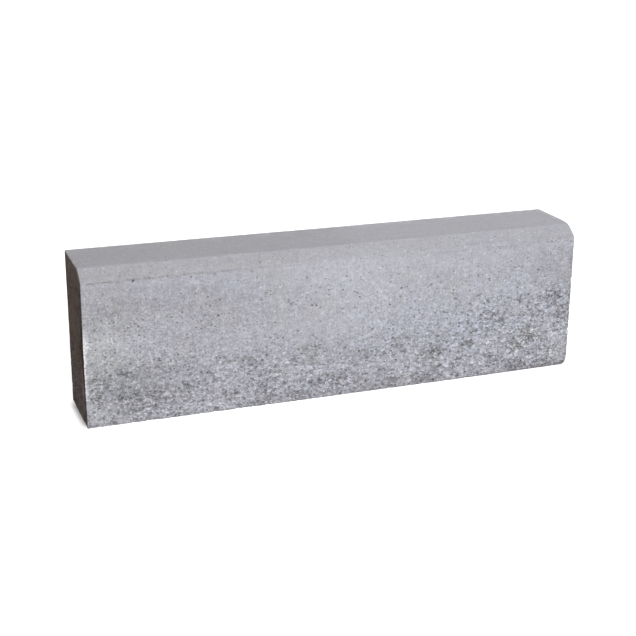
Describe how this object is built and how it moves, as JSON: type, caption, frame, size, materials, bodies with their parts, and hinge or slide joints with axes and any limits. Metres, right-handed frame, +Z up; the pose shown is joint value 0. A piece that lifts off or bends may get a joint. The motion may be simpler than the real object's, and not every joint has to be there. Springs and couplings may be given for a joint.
{
  "type": "concrete kerb stone",
  "caption": "Straight precast concrete kerb stone, upright rectangular block with a cut-back rounded top front edge, stands on its base to edge a road.",
  "frame": {"origin": "centre of the bedding face, on the ground", "axes": "+X along the kerb, +Y from the road face to the back face, +Z up from the bedding face to the tread"},
  "size_m": [1, 0.15, 0.3],
  "materials": {
    "cast_concrete": "matt cast grey concrete, fine on the tread and the upper road face, open grained and mottled lower down"
  },
  "bodies": {
    "root": {"kerb_stone": "cast_concrete"}
  },
  "joints": []
}
